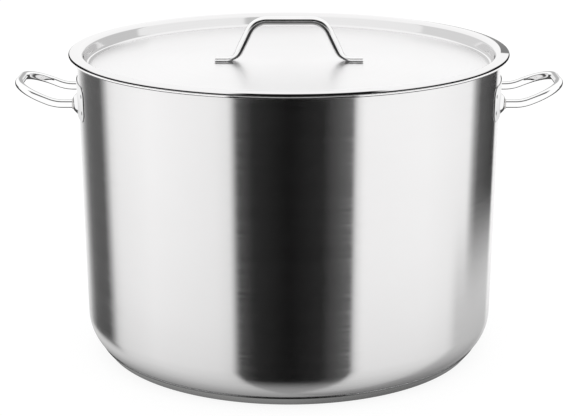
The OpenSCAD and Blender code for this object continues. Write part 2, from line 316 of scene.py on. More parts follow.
# ---------------------------------------------------------------- metal
def steel(name, color=(0.80, 0.80, 0.79), rough=0.2, aniso=0.85, streak=1.0, lay="turned", grain=1100.0,
          bump=0.05, smudge=0.03, spots=0.0, rotation=0.25, satin_inside=None,
          haze=0.0, tone=0.16, ragged=0.10):
    """Metal with a brushing direction. lay: turned (round Z), along_x (straight along X) or polished."""
    m = bpy.data.materials.new(name)
    m.use_nodes = True
    N = Nodes(m.node_tree)
    out = N.new("ShaderNodeOutputMaterial")
    b = N.new("ShaderNodeBsdfPrincipled")
    if not haze:
        N.link(b.outputs[0], out.inputs[0])
    tc = N.new("ShaderNodeTexCoord")
    sep = N.new("ShaderNodeSeparateXYZ")
    N.link(tc.outputs["Object"], sep.inputs[0])
    x, y, z = sep.outputs
    if lay == "turned":
        r = N.math("SQRT", N.math("ADD", N.math("MULTIPLY", x, x), N.math("MULTIPLY", y, y)))
        w = N.math("MULTIPLY", N.math("ADD", r, z), grain)
        u, v = N.math("MULTIPLY", x, 9.0), N.math("MULTIPLY", y, 9.0)
    elif lay == "along_x":
        w = N.math("MULTIPLY", z, grain)
        u, v = N.math("MULTIPLY", x, 14.0), N.math("MULTIPLY", y, grain)
    else:
        w = N.math("MULTIPLY", z, 90.0)
        u, v = N.math("MULTIPLY", x, 90.0), N.math("MULTIPLY", y, 90.0)
    comb = N.new("ShaderNodeCombineXYZ")
    for s, o in zip(comb.inputs, (u, v, w)):
        N.link(o, s)
    fine = N.new("ShaderNodeTexNoise")
    N.link(comb.outputs[0], fine.inputs["Vector"])
    fine.inputs["Scale"].default_value = 1.0
    fine.inputs["Detail"].default_value = 3.0
    fine.inputs["Roughness"].default_value = 0.65
    # broader lines, a few grains wide
    half = N.new("ShaderNodeVectorMath", operation="SCALE")
    N.link(comb.outputs[0], half.inputs[0])
    half.inputs["Scale"].default_value = 0.22
    broad = N.new("ShaderNodeTexNoise")
    N.link(half.outputs[0], broad.inputs["Vector"])
    broad.inputs["Scale"].default_value = 1.0
    broad.inputs["Detail"].default_value = 2.0
    lines = N.math("ADD", N.math("MULTIPLY", fine.outputs["Fac"], 0.75), N.math("MULTIPLY", broad.outputs["Fac"], 0.25))
    # handling marks: large soft patches
    cloud = N.new("ShaderNodeTexNoise")
    N.link(tc.outputs["Object"], cloud.inputs["Vector"])
    cloud.inputs["Scale"].default_value = 14.0
    cloud.inputs["Detail"].default_value = 4.0
    c0 = N.math("SUBTRACT", lines, 0.5)
    c1 = N.math("SUBTRACT", cloud.outputs["Fac"], 0.5)
    shade = N.math("ADD", 1.0, N.math("ADD", N.math("MULTIPLY", c0, tone * streak), N.math("MULTIPLY", c1, 0.05)))
    col = N.new("ShaderNodeVectorMath", operation="SCALE")
    col.inputs[0].default_value = color
    N.link(shade, col.inputs["Scale"])
    base = col.outputs[0]
    if spots:
        # faint heat tint in patches
        pt = N.new("ShaderNodeTexNoise")
        N.link(tc.outputs["Object"], pt.inputs["Vector"])
        pt.inputs["Scale"].default_value = 260.0
        base = N.mix(N.smooth(pt.outputs["Fac"], 0.45, 0.7, 0, spots), base, (0.42, 0.33, 0.22, 1))
    N.link(base, b.inputs["Base Color"])
    b.inputs["Metallic"].default_value = 1.0
    rr = N.math("ADD", rough, N.math("ADD", N.math("MULTIPLY", c0, ragged * streak * rough / 0.2), N.math("MULTIPLY", c1, smudge)), clamp=True)
    if satin_inside:
        rr = N.math("ADD", rr, N.smooth(r, satin_inside, satin_inside + 0.004, 0.22, 0.0))
    N.link(rr, b.inputs["Roughness"])
    if aniso:
        b.inputs["Anisotropic"].default_value = aniso
        b.inputs["Anisotropic Rotation"].default_value = rotation
        tan = N.new("ShaderNodeTangent", direction_type="RADIAL", axis="Z" if lay != "along_x" else "X")
        N.link(tan.outputs[0], b.inputs["Tangent"])
    bp = N.new("ShaderNodeBump")
    bp.inputs["Strength"].default_value = bump
    bp.inputs["Distance"].default_value = 0.0002
    N.link(lines, bp.inputs["Height"])
    # slow unevenness of the sheet, which bends reflections a little
    wav = N.new("ShaderNodeTexNoise")
    N.link(tc.outputs["Object"], wav.inputs["Vector"])
    wav.inputs["Scale"].default_value = 7.0
    wav.inputs["Detail"].default_value = 1.0
    bp2 = N.new("ShaderNodeBump")
    bp2.inputs["Strength"].default_value = 0.12
    bp2.inputs["Distance"].default_value = 0.0004
    N.link(wav.outputs["Fac"], bp2.inputs["Height"])
    N.link(bp.outputs[0], bp2.inputs["Normal"])
    N.link(bp2.outputs[0], b.inputs["Normal"])
    if haze:
        # the finest scratches scatter a little light all round, more in some lines than in others
        g = N.new("ShaderNodeBsdfAnisotropic")
        g.inputs["Color"].default_value = (*color, 1)
        g.inputs["Roughness"].default_value = 0.6
        mx = N.new("ShaderNodeMixShader")
        amount = N.math("MULTIPLY", haze, N.math("ADD", 1.0, N.math("ADD", N.math("MULTIPLY", c0, 4.5), N.math("MULTIPLY", c1, 1.5))), clamp=True)
        N.link(amount, mx.inputs[0])
        N.link(b.outputs[0], mx.inputs[1])
        N.link(g.outputs[0], mx.inputs[2])
        N.link(mx.outputs[0], out.inputs[0])
    return m


M_shell = steel("shell_brushed", color=(0.822, 0.816, 0.817), rough=0.13, aniso=0.93, streak=1.2, haze=0.015, tone=0.05, ragged=0.45)
M_base = steel("cap_turned", color=(0.70, 0.70, 0.695), rough=0.24, aniso=0.6, grain=900)
M_lid = steel("lid_satin", color=(0.905, 0.90, 0.902), rough=0.08, aniso=0.3, streak=0.5, grain=1300, bump=0.03, satin_inside=0.188)
M_rod = steel("rod_polished", color=(0.93, 0.93, 0.93), rough=0.025, aniso=0.0, streak=0.5, lay="polished", bump=0.02, smudge=0.02)
M_plate = steel("plate_polished", color=(0.88, 0.88, 0.88), rough=0.06, aniso=0.0, streak=0.6, lay="polished", bump=0.03, smudge=0.03)
M_weld = steel("weld_cleaned", color=(0.70, 0.69, 0.68), rough=0.30, aniso=0.0, streak=1.0, lay="polished", bump=0.25, smudge=0.08, spots=0.18)
M_core = steel("core_aluminium", color=(0.80, 0.81, 0.83), rough=0.35, aniso=0.5, grain=700)

# ---------------------------------------------------------------- pot shell
CORNER_R, FLOOR_R, TURN_A = 38.0, 14.0, 45.0
corner_z = FLOOR_Z + FLOOR_R + (CORNER_R - FLOOR_R) * math.sin(math.radians(TURN_A))
corner_x = wall_out(corner_z - CORNER_R * math.sin(LEAN)) - CORNER_R * math.cos(LEAN)
turn_x = corner_x + (CORNER_R - FLOOR_R) * math.cos(math.radians(TURN_A))
turn_z = corner_z - (CORNER_R - FLOOR_R) * math.sin(math.radians(TURN_A))
lean_deg = math.degrees(LEAN)


def shell_side(d):
    floor_end = (turn_x, FLOOR_Z + d)
    top = (CURL_X - RIM_R + (WALL_T - d), CURL_Z)
    lo = arc(corner_x, corner_z, CORNER_R - d, -TURN_A, -lean_deg, 26)
    return chain(line((0, FLOOR_Z + d), floor_end, 12.0),
                 arc(turn_x, turn_z, FLOOR_R - d, -90, -TURN_A, 16), lo, line(lo[-1], top, 8.0))


lip = 0.8
shell = chain(
    shell_side(0),
    arc(CURL_X, CURL_Z, RIM_R - WALL_T, 180, 0, 28),
    [(CURL_X + RIM_R - WALL_T, CURL_Z - lip + 0.4)],
    arc(CURL_X + RIM_R - WALL_T / 2, CURL_Z - lip + 0.5, 0.5, 180, 360, 10),
    arc(CURL_X, CURL_Z, RIM_R, 0, 180, 40),
    shell_side(WALL_T)[::-1])
pot = lathe("pot_shell", shell, M_shell, segs=480)
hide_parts("pot_body")
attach(pot, "pot")

# ---------------------------------------------------------------- base cap
CAP_T, CAP_B, CAP_E, SEAM_A, SEAM_S = 0.9, 181.4, 3.0, 47.0, 1.0
seam_x = turn_x + (FLOOR_R + SEAM_S) * math.cos(math.radians(SEAM_A))
seam_z = turn_z - (FLOOR_R + SEAM_S) * math.sin(math.radians(SEAM_A))
side = math.atan2(seam_z, seam_x - CAP_B)
ex = CAP_B - CAP_E * math.tan(side / 2)
nx, nz = math.sin(side), -math.cos(side)            # outward normal of the side
touch = (seam_x - nx * SEAM_S * 1.02 - 0.25, seam_z - nz * SEAM_S * 1.02 + 0.2)
cap_out = chain(line((0, 0), (ex, 0), 12), arc(ex, CAP_E, CAP_E, -90, -90 + math.degrees(side), 12))
end = (seam_x, seam_z)
cap_out = chain(cap_out, line(cap_out[-1], (end[0] - nx * 0.0 - math.cos(side) * 0.45, end[1] - math.sin(side) * 0.45), 2, 0.3),
                arc(end[0] - nx * 0.45 - math.cos(side) * 0.45, end[1] - nz * 0.45 - math.sin(side) * 0.45, 0.45,
                    math.degrees(side) - 90, math.degrees(side) + 60, 8))
cap_in = chain(line((0, CAP_T), (ex, CAP_T), 12), arc(ex, CAP_E, CAP_E - CAP_T, -90, -90 + math.degrees(side), 12),
               [(end[0] - nx * CAP_T, end[1] - nz * CAP_T)])
cap = lathe("base_cap_shell", chain(cap_out, cap_in[::-1]), M_base, segs=480)
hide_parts("base_cap")
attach(cap, "pot")

# ---------------------------------------------------------------- lid pan
LID_T, LID_R = 0.9, pan_hi[1] - 0.01
PANEL_R, REC_F, REC_L, REC_W, CROWN_R, SLOPE, HEM_R, SKIRT = 192.0, 3.5, 15.0, 6.5, 5.0, 3.0, 1.6, 0.4
PANEL_Z = grip_lo[2]
c15, s15 = math.cos(math.radians(REC_L)), math.sin(math.radians(REC_L))
c3, s3, t3 = math.cos(math.radians(SLOPE)), math.sin(math.radians(SLOPE)), math.tan(math.radians(SLOPE))
wall_top_x = PANEL_R + REC_F * c15 + REC_W * s15
crown_x = wall_top_x + CROWN_R * c15
crown_z = PANEL_Z - CROWN_R * s15 + REC_W * c15 + REC_F * (1 - s15)
hem_x = LID_R - HEM_R
hem_z = crown_z + CROWN_R * c3 - (hem_x - crown_x + (HEM_R - CROWN_R) * s3) * t3 - HEM_R * c3


def lid_side(d):
    a = arc(PANEL_R, PANEL_Z + REC_F, REC_F + d, -90, -REC_L, 14)
    b = arc(crown_x, crown_z, CROWN_R - d, 180 - REC_L, 90 - SLOPE, 20)
    c = arc(hem_x, hem_z, HEM_R - d, 90 - SLOPE, 0, 14)
    return chain(line((0, PANEL_Z - d), a[0], 10), a, line(a[-1], b[0], 2.5, 0.3), b, line(b[-1], c[0], 2, 0.3), c)


def lid_wobble(a, r, z):
    return (0.0, 0.0)


edge = arc(LID_R - LID_T / 2, hem_z - SKIRT + 0.25, LID_T / 2, 0, -180, 10)
pan = lathe("lid_shell", chain(lid_side(0), edge, lid_side(LID_T)[::-1]), M_lid, segs=480, wobble=None)
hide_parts("lid_pan")
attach(pan, "lid")

# ---------------------------------------------------------------- side handles
LEG_Y, ROD = 41.5, 8.0
LEG_Z = round(rod_lo[2] + ROD / 2, 1)
LEG_X, TILT, BEND_R, LOOP_L, LOOP_R = 213.9, 22.0, 40.0, 2.5, 30.0
leg_end = math.sqrt(wall_out(LEG_Z) ** 2 - (LEG_Y - ROD / 2) ** 2) + 0.3
ct, st = math.cos(math.radians(TILT)), math.sin(math.radians(TILT))


def handle_path():
    half = []
    for i in range(9):
        half.append((leg_end + (LEG_X - leg_end) * i / 8, -LEG_Y, LEG_Z))
    for i in range(1, 19):
        a = math.radians(TILT * i / 18)
        half.append((LEG_X + BEND_R * math.sin(a), -LEG_Y, LEG_Z + BEND_R * (1 - math.cos(a))))
    ox, oz = half[-1][0], half[-1][2]

    def lp(u, v):
        return (ox + u * ct, v, oz + u * st)
    for i in range(1, 4):
        half.append(lp(LOOP_L * i / 3, -LEG_Y))
    for i in range(1, 25):
        a = math.radians(90 * i / 24)
        half.append(lp(LOOP_L + LOOP_R * math.sin(a), -LEG_Y + LOOP_R - LOOP_R * math.cos(a)))
    for i in range(1, 7):
        half.append(lp(LOOP_L + LOOP_R, -(LEG_Y - LOOP_R) * (1 - i / 6)))
    return half + [(x, -y, z) for x, y, z in half[:-1]][::-1]


def round_section(d, n=40):
    pts = [(d / 2 * math.cos(2 * pi * i / n), d / 2 * math.sin(2 * pi * i / n)) for i in range(n)]
    return lambda k, t: pts


def mirrored(path, sgn):
    return [(x * sgn, y, z) for x, y, z in path]


for side_name, sgn in (("right", 1), ("left", -1)):
    rod = sweep(side_name + "_handle_loop", mirrored(handle_path(), sgn), round_section(ROD), M_rod, up=(0, 0, 1), cap=0.5)
    fix_normals(rod)
    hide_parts(side_name + "_handle_rod")
    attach(rod, "pot")

# ---------------------------------------------------------------- handle plates
PL_W, PL_H, PL_T, PL_R = 140.0, plate_hi[2] - plate_lo[2], 1.5, 10.0
PL_Z = (plate_lo[2] + plate_hi[2]) / 2
RISE = PL_Z - LEG_Z
plate_x = math.sqrt((wall_out(LEG_Z) + PL_T) ** 2 - LEG_Y ** 2)
spots = [(sy * (PL_W / 2 - 6.5), sz * (PL_H / 2 - 9)) for sy in (-1, 1) for sz in (-1, 1)] + \
        [(sy * 12.0, sz * (PL_H / 2 - 9)) for sy in (-1, 1) for sz in (-1, 1)]


def outline(inset, n_long=220, n_short=40, n_c=18):
    """points of the plate's outline pulled in by inset, always the same count"""
    w, h = PL_W / 2 - inset, max(PL_H / 2 - inset, 0.02)
    r = max(PL_R - inset * 0.75, 0.0)
    r = min(r, h - 0.01)
    pts = []
    for k, (cx, cy, a0) in enumerate(((w - r, h - r, 0), (-(w - r), h - r, 90), (-(w - r), -(h - r), 180), (w - r, -(h - r), 270))):
        for i in range(n_c):
            a = math.radians(a0 + 90 * i / n_c)
            pts.append((cx + r * math.cos(a), cy + r * math.sin(a)))
        a = math.radians(a0 + 90)
        p = (cx + r * math.cos(a), cy + r * math.sin(a))
        nx_ = ((-(w - r), h - r, 90), (-(w - r), -(h - r), 180), (w - r, -(h - r), 270), (w - r, h - r, 0))[k]
        b = math.radians(nx_[2])
        q = (nx_[0] + r * math.cos(b), nx_[1] + r * math.sin(b))
        n = n_long if k in (0, 2) else n_short
        for i in range(n):
            t = i / n
            pts.append((p[0] + (q[0] - p[0]) * t, p[1] + (q[1] - p[1]) * t))
    return pts


def face_height(y, z):
    """how far the pressed face stands off its plain surface at (y, z) from the plate's centre"""
    h = 0.0
    for s in (-1, 1):
        d = math.hypot(y - s * LEG_Y, z + RISE)
        foot, mouth, tall = 11.0, 5.4, 4.2
        if d < foot:
            t = min(1.0, (foot - d) / (foot - mouth))
            h = max(h, tall * (t * t * (3 - 2 * t) * 0.55 + t * 0.45 - 0.0) if t < 1 else tall)
    for (sy, sz) in spots:
        d = math.hypot(y - sy, z - sz)
        if d < 2.9:
            t = d / 2.9
            h -= 0.42 * (1 - t * t) ** 1.0 if t < 1 else 0
    return h


def make_plate(name, sgn):
    verts, rows = [], []

    def row(inset, off, face):
        r_ = []
        for (y, z) in outline(inset):
            R = wall_out(PL_Z + z) + off
            # bosses are pressed straight out along X, the rest follows the wall
            x = math.sqrt(R * R - y * y) + (face_height(y, z) if face else 0)
            r_.append(len(verts))
            verts.append((sgn * x, y, PL_Z + z))
        rows.append(r_)
    hmax = PL_H / 2 - 0.05
    steps = [0.0, 0.12, 0.35, 0.7]
    n_in = 27
    insets = [0.9 + (hmax - 0.9) * (i / n_in) for i in range(n_in + 1)]
    # underside, from the middle out, then the edge, then the face back to the middle
    for ins in (hmax, 9.0, 3.0, 0.9, 0.2):
        row(ins, 0.02, False)
    row(0.0, 0.25, False)
    row(0.0, PL_T - 0.7, False)
    row(0.06, PL_T - 0.35, False)
    row(0.25, PL_T - 0.1, False)
    row(0.55, PL_T, False)
    for ins in insets:
        row(ins, PL_T, True)
    faces = []
    n = len(rows[0])
    for a, b in zip(rows[:-1], rows[1:]):
        for i in range(n):
            j = (i + 1) % n
            faces.append((a[i], a[j], b[j], b[i]))
    # close the two thin slots in the middle
    for r_ in (rows[0], rows[-1]):
        top = r_[18:18 + 220]
        bot = r_[18 + 220 + 18 + 40 + 18:18 + 220 + 18 + 40 + 18 + 220][::-1]
        left = r_[18 + 220:18 + 220 + 18 + 40 + 18]
        right = r_[18 + 220 + 18 + 40 + 18 + 220:] + r_[:18]
        for a, b in zip(range(219), range(1, 220)):
            faces.append((top[a], top[b], bot[b], bot[a]))
        faces.append(tuple([top[-1]] + left + [bot[-1]]))
        faces.append(tuple([bot[0]] + right + [top[0]]))
    ob = new_object(name, verts, faces, M_plate)
    fix_normals(ob)
    return ob


for side_name, sgn in (("right", 1), ("left", -1)):
    pl = make_plate(side_name + "_plate_pressed", sgn)
    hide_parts(side_name + "_handle_plate")
    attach(pl, "pot")

# ---------------------------------------------------------------- weld beads round the legs
def make_beads(name, sgn):
    verts, faces = [], []
    nu, nv = 96, 14
    for s in (-1, 1):
        base = len(verts)
        for i in range(nu):
            a = 2 * pi * i / nu
            ripple = 0.10 * math.sin(a * 17 + s) + 0.07 * math.sin(a * 5 + 2 * s)
            for j in range(nv):
                b = 2 * pi * j / nv
                rr = 4.3 + (0.75 + ripple) * math.cos(b)
                xx = plate_x + 4.2 + 0.1 + (0.7 + ripple) * math.sin(b)
                verts.append((sgn * xx, s * LEG_Y + rr * math.cos(a), LEG_Z + rr * math.sin(a)))
        for i in range(nu):
            for j in range(nv):
                i2, j2 = (i + 1) % nu, (j + 1) % nv
                faces.append((base + i * nv + j, base + i2 * nv + j, base + i2 * nv + j2, base + i * nv + j2))
    ob = new_object(name, verts, faces, M_weld)
    fix_normals(ob)
    return ob


for side_name, sgn in (("right", 1), ("left", -1)):
    bd = make_beads(side_name + "_leg_bead", sgn)
    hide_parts(side_name + "_leg_weld_beads")
    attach(bd, "pot")

# ---------------------------------------------------------------- lid handle
GRIP, GRIP_HALF, TOP_R, FOOT_BR, GRIP_A, FOOT_T, FOOT_W = 8.0, 21.0, 20.0, 13.0, 64.0, 3.2, 11.0
bar_z = grip_hi[2] - GRIP / 2
foot_z = PANEL_Z + FOOT_T / 2
ga = math.radians(GRIP_A)
leg_len = (bar_z - foot_z - (TOP_R + FOOT_BR) * (1 - math.cos(ga))) / math.sin(ga)
foot_x = GRIP_HALF + TOP_R * math.sin(ga) + leg_len * math.cos(ga) + FOOT_BR * math.sin(ga)
foot_end = grip_hi[0]


def grip_path():
    half, flat = [], []                     # points from the middle out, with how flat each is
    for i in range(8):
        half.append((GRIP_HALF * i / 7, 0, bar_z)); flat.append(0)
    for i in range(1, 25):
        a = ga * i / 24
        half.append((GRIP_HALF + TOP_R * math.sin(a), 0, bar_z - TOP_R * (1 - math.cos(a)))); flat.append(0)
    p = half[-1]
    for i in range(1, 17):
        t = leg_len * i / 16
        half.append((p[0] + t * math.cos(ga), 0, p[2] - t * math.sin(ga)))
        flat.append(max(0.0, (t - leg_len * 0.55) / (leg_len * 0.45)) * 0.18)
    for i in range(1, 21):
        a = ga * (1 - i / 20)
        half.append((foot_x - FOOT_BR * math.sin(a), 0, foot_z + FOOT_BR * (1 - math.cos(a))))
        flat.append(0.18 + 0.82 * (i / 20))
    n = 12
    for i in range(1, n + 1):
        half.append((foot_x + (foot_end - foot_x) * i / n, 0, foot_z)); flat.append(1.0)
    path = [(-x, y, z) for x, y, z in half[1:]][::-1] + half
    fl = flat[1:][::-1] + flat
    return path, fl


gpath, gflat = grip_path()
G = np.array(gpath)
gs = np.concatenate([[0], np.cumsum(np.linalg.norm(G[1:] - G[:-1], axis=1))])


def grip_section(k, t, n=56):
    f = float(np.interp(t, gs, gflat))
    f = f * f * (3 - 2 * f)
    w = GRIP + (FOOT_W - GRIP) * f
    h = GRIP + (FOOT_T - GRIP) * f
    q = 2 + 2.6 * f
    pts = []
    xmid = float(np.interp(t, gs, G[:, 0]))
    for i in range(n):
        a = 2 * pi * i / n
        c, s = math.cos(a), math.sin(a)
        u = w / 2 * math.copysign(abs(c) ** (2 / q), c)
        v = h / 2 * math.copysign(abs(s) ** (2 / q), s)
        pts.append((u, v))
    return pts


grip = sweep("lid_grip", gpath, grip_section, M_rod, up=(0, 1, 0), cap=0.35)
fix_normals(grip)
# press marks of the spot welds on the feet
me = grip.data
for v in me.vertices:
    x, y, z = v.co.x / MM, v.co.y / MM, v.co.z / MM
    for s in (-1, 1):
        d = math.hypot(x - s * (foot_x + (foot_end - foot_x) * 0.55), y)
        if d < 2.6 and z > foot_z + 0.3:
            v.co.z -= 0.4 * (1 - (d / 2.6) ** 2) * MM
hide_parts("lid_handle")
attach(grip, "lid")

for name in ("left_handle_loop", "right_handle_loop", "left_plate_pressed", "right_plate_pressed", "left_leg_bead", "right_leg_bead"):
    bpy.data.objects[name].visible_glossy = False     # the satin wall blurs them away

# ---------------------------------------------------------------- CAD nodes that stay
for node, mat in (("base_core", M_core), ("left_plate_spot_welds", M_weld), ("right_plate_spot_welds", M_weld),
                  ("lid_handle_spot_welds", M_weld)):
    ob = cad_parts[node]
    for i in range(max(1, len(ob.material_slots))):
        if not ob.material_slots:
            ob.data.materials.append(mat)
        else:
            ob.material_slots[i].material = mat

# ---------------------------------------------------------------- studio
# A white room with a darker studio beyond it that only shows in reflections.
# Azimuth 0 is straight in front of the pot (towards the camera), positive to the right.
def ring(N, az, stops):
    f = N.math("ADD", N.math("DIVIDE", az, 2 * pi), 0.5)
    return N.ramp(f, [((a + 180) / 360.0, (v, v, v)) for a, v in stops])


AROUND = [(-180, 0.97), (-168, 0.95), (-157, 0.76), (-150, 0.40), (-142, 0.16), (-134, 0.115), (-121.5, 0.10), (-117, 0.40),
          (-112.5, 0.82), (-106, 0.93), (-80, 1.0), (-40, 0.92), (-31.8, 0.84), (-27.6, 0.085), (-19, 0.02), (0, 0.005),
          (18, 0.018), (34, 0.13), (36, 0.75), (40.5, 0.98), (80, 1.0), (114, 0.93), (119.5, 0.34), (125, 0.10),
          (151, 0.035), (154, 0.92), (180, 0.98)]
RECESS = [(-180, 0.70), (-87, 0.72), (-85, 0.88), (-19, 0.90), (-16, 0.70), (26, 0.56), (28, 0.90),
          (99, 0.88), (101, 0.60), (180, 0.58)]


def between(N, x, lo, hi, soft=0.0004):
    return N.math("MULTIPLY", N.smooth(x, lo - soft, lo + soft), N.smooth(x, hi - soft, hi + soft, 1.0, 0.0))


def painted_crevice_shade(m, z0, z1, soft, strength):
    """darkens a material between two heights: painted shade in the joint between base cap and shell"""
    N = Nodes(m.node_tree, keep=True)
    b = next(n for n in m.node_tree.nodes if n.bl_idname == "ShaderNodeBsdfPrincipled")
    tc = N.new("ShaderNodeTexCoord")
    sep = N.new("ShaderNodeSeparateXYZ")
    N.link(tc.outputs["Object"], sep.inputs[0])
    keep = N.math("SUBTRACT", 1.0, N.math("MULTIPLY", between(N, sep.outputs[2], z0, z1, soft), strength))
    sc = N.new("ShaderNodeVectorMath", operation="SCALE")
    N.link(b.inputs["Base Color"].links[0].from_socket, sc.inputs[0])
    N.link(keep, sc.inputs["Scale"])
    N.link(sc.outputs[0], b.inputs["Base Color"])


# painted shade along the seam, on both sides of the joint between base cap and shell
painted_crevice_shade(M_shell, (seam_z - 1.0) * MM, (seam_z + 0.50) * MM, 0.0002, 0.75)
painted_crevice_shade(M_base, (seam_z - 0.40) * MM, (seam_z + 1.0) * MM, 0.0002, 0.7)


def studio_and_painted_reflections(N):
    """what a reflected ray sees, from where it leaves the metal (o) and which way it goes (d): a studio round the pot
    plus painted reflections and painted shade, set for each part by the spot on the metal the ray leaves
    """
    geo = N.new("ShaderNodeNewGeometry")
    lp = N.new("ShaderNodeLightPath")
    inc = N.new("ShaderNodeSeparateXYZ")
    N.link(geo.outputs["Incoming"], inc.inputs[0])
    pos = N.new("ShaderNodeSeparateXYZ")
    N.link(geo.outputs["Position"], pos.inputs[0])
    back = N.new("ShaderNodeVectorMath", operation="SCALE")
    N.link(geo.outputs["Incoming"], back.inputs[0])
    N.link(lp.outputs["Ray Length"], back.inputs["Scale"])
    start = N.new("ShaderNodeVectorMath", operation="ADD")
    N.link(geo.outputs["Position"], start.inputs[0])
    N.link(back.outputs[0], start.inputs[1])
    o = N.new("ShaderNodeSeparateXYZ")
    N.link(start.outputs[0], o.inputs[0])
    ox, oy, oz = o.outputs
    dx = N.math("MULTIPLY", inc.outputs[0], -1.0)
    dy = N.math("MULTIPLY", inc.outputs[1], -1.0)
    dz = N.math("MULTIPLY", inc.outputs[2], -1.0)
    az = N.math("ARCTAN2", dx, N.math("MULTIPLY", dy, -1.0))
    az_deg = N.math("MULTIPLY", az, 180 / pi)
    aaz = N.math("ABSOLUTE", az_deg)
    el = N.math("MULTIPLY", N.math("ARCSINE", dz), 180 / pi)
    orad = N.math("SQRT", N.math("ADD", N.math("MULTIPLY", ox, ox), N.math("MULTIPLY", oy, oy)))
    hit = N.math("SQRT", N.math("ADD", N.math("MULTIPLY", pos.outputs[0], pos.outputs[0]),
                                N.math("MULTIPLY", pos.outputs[1], pos.outputs[1])))
    low = N.math("LESS_THAN", pos.outputs[2], 0.01)            # the ray ends on the floor

    # 1. the wall: bands round the studio, a white table close in, shadow under the pot
    around = ring(N, az, AROUND)
    near = N.ramp(N.math("DIVIDE", hit, 1.2), [(0.0, (0.10,) * 3), (0.150, (0.20,) * 3), (0.160, (0.41,) * 3), (0.170, (0.62,) * 3),
                                              (0.19, (0.80,) * 3), (0.25, (0.92,) * 3), (0.34, (1.0,) * 3), (0.5, (1.05,) * 3),
                                              (0.9, (1.10,) * 3)])
    m_front = N.smooth(hit, 0.174, 0.232)
    m_left = N.smooth(hit, 0.21, 0.25)
    m_right = N.smooth(hit, 0.30, 0.72)
    is_front = N.smooth(aaz, 60, 80, 1.0, 0.0)
    is_right = N.smooth(az_deg, 95, 110)
    m = N.mixf(is_front, N.mixf(is_right, m_left, m_right), m_front)
    m = N.mixf(low, 1.0, m)
    fade = N.mixf(N.math("MULTIPLY", is_right, N.smooth(az_deg, 150, 156, 1.0, 0.0)), 1.0, 0.68)
    ringed = N.mix(m, fade, around)
    wall = N.new("ShaderNodeVectorMath", operation="MULTIPLY")
    N.link(ringed, wall.inputs[0])
    N.link(N.mix(low, (1.0, 1.0, 1.0, 1), near), wall.inputs[1])
    out = wall.outputs[0]

    # 2. rim and hem: the studio is dark round the horizon in front and at the sides; rim and hem each get their own
    #    painted reflection, chosen by where the ray leaves the metal
    ahead = between(N, az_deg, -31, 35, 2.0)
    over = N.mixf(ahead, N.smooth(el, 20, 29), N.smooth(el, 76, 86))
    # painted highlight: at the sides the lower part of the rim is lifted 1.28 times, keyed to the height the ray leaves
    # from
    rim = N.mixf(ahead, N.math("MULTIPLY", N.smooth(el, -15, -9), N.smooth(oz, 0.2902, 0.2910, 1.28, 1.0)), N.smooth(el, 8, 18, 0.0, 0.62))
    over = N.mixf(N.smooth(orad, 0.2094, 0.2099), rim, over)
    far = N.math("MULTIPLY", N.smooth(aaz, 125, 150), N.smooth(orad, 0.2100, 0.2103, 1.0, 0.0))
    over = N.math("MAXIMUM", over, N.math("MULTIPLY", far, N.smooth(el, -30, -14, 0.55, 1.0)))
    # painted shade: a grey patch on the flange's outer slope on the right, keyed to the spot on the metal the ray
    # leaves
    oaz = N.math("MULTIPLY", N.math("ARCTAN2", ox, N.math("MULTIPLY", oy, -1.0)), 180 / pi)
    reach = N.math("MULTIPLY", N.smooth(oaz, 80, 120, 0.0088, 0.0032), N.smooth(oaz, 125, 155, 1.0, 0.2))
    patch = N.math("MULTIPLY", between(N, oaz, 82.5, 155, 0.8), N.math("GREATER_THAN", orad, N.math("SUBTRACT", 0.2112, reach)))
    over = N.mixf(patch, over, N.smooth(oaz, 82, 130, 0.22, 0.40))
    # painted shade: straight in front the turned-down edge is painted dark all over, keyed to the spot on the metal
    over = N.mixf(N.math("MULTIPLY", between(N, oaz, -12, 22, 3.0), N.smooth(orad, 0.2097, 0.2101)), over, 0.0)
    hem = N.math("ADD", 0.010, N.math("MULTIPLY", over, 0.98))
    is_hem = N.math("MULTIPLY", N.smooth(oz, 0.2885, 0.2893), N.math("GREATER_THAN", orad, 0.2025))
    out = N.mix(is_hem, out, hem)

    # 3. the lid: panel, recess wall and crown, with painted reflections keyed to where the ray leaves the lid
    recess = ring(N, az, RECESS)
    recess = N.mix(N.smooth(el, 26, 40), recess, (0.97, 0.97, 0.97, 1))
    again = N.math("GREATER_THAN", lp.outputs["Ray Depth"], 1.5)
    aox = N.math("ABSOLUTE", ox)
    aoy = N.math("ABSOLUTE", oy)
    foot = N.math("MULTIPLY", N.smooth(aox, 0.054, 0.060), between(N, aoy, 0.0078, 0.0125, 0.0005))
    adx = N.math("ABSOLUTE", dx)
    ahead_ = N.math("MULTIPLY", N.smooth(adx, 0.08, 0.15, 1.0, 0.0), N.math("MULTIPLY", N.smooth(aaz, 60, 80, 1.0, 0.0), N.smooth(aox, 0.031, 0.038, 1.0, 0.0)))
    outward = N.math("MULTIPLY", N.math("GREATER_THAN", N.math("MULTIPLY", ox, dx), 0.0), N.smooth(aox, 0.040, 0.044))
    inner = N.math("MULTIPLY", N.smooth(adx, 0.08, 0.15), N.math("MULTIPLY", N.smooth(aaz, 104, 118, 1.0, 0.0), N.math("SUBTRACT", 1.0, outward)))
    # painted shade: where the panel is seen again in the grip, it is painted dark in set places round the grip, keyed
    # to the spot on the panel
    shut = N.math("MULTIPLY", N.math("MAXIMUM", ahead_, inner), N.math("SUBTRACT", 1.0, foot))
    edge_ = N.math("MULTIPLY", N.smooth(aaz, 138, 146), N.math("LESS_THAN", orad, 0.09))
    shut = N.math("MULTIPLY", again, N.math("MAXIMUM", shut, N.math("MULTIPLY", edge_, 0.8)))
    panel = N.mix(shut, (1.03, 1.03, 1.03, 1), N.mix(N.smooth(el, 48, 62), (0.02, 0.02, 0.02, 1), (0.16, 0.16, 0.16, 1)))
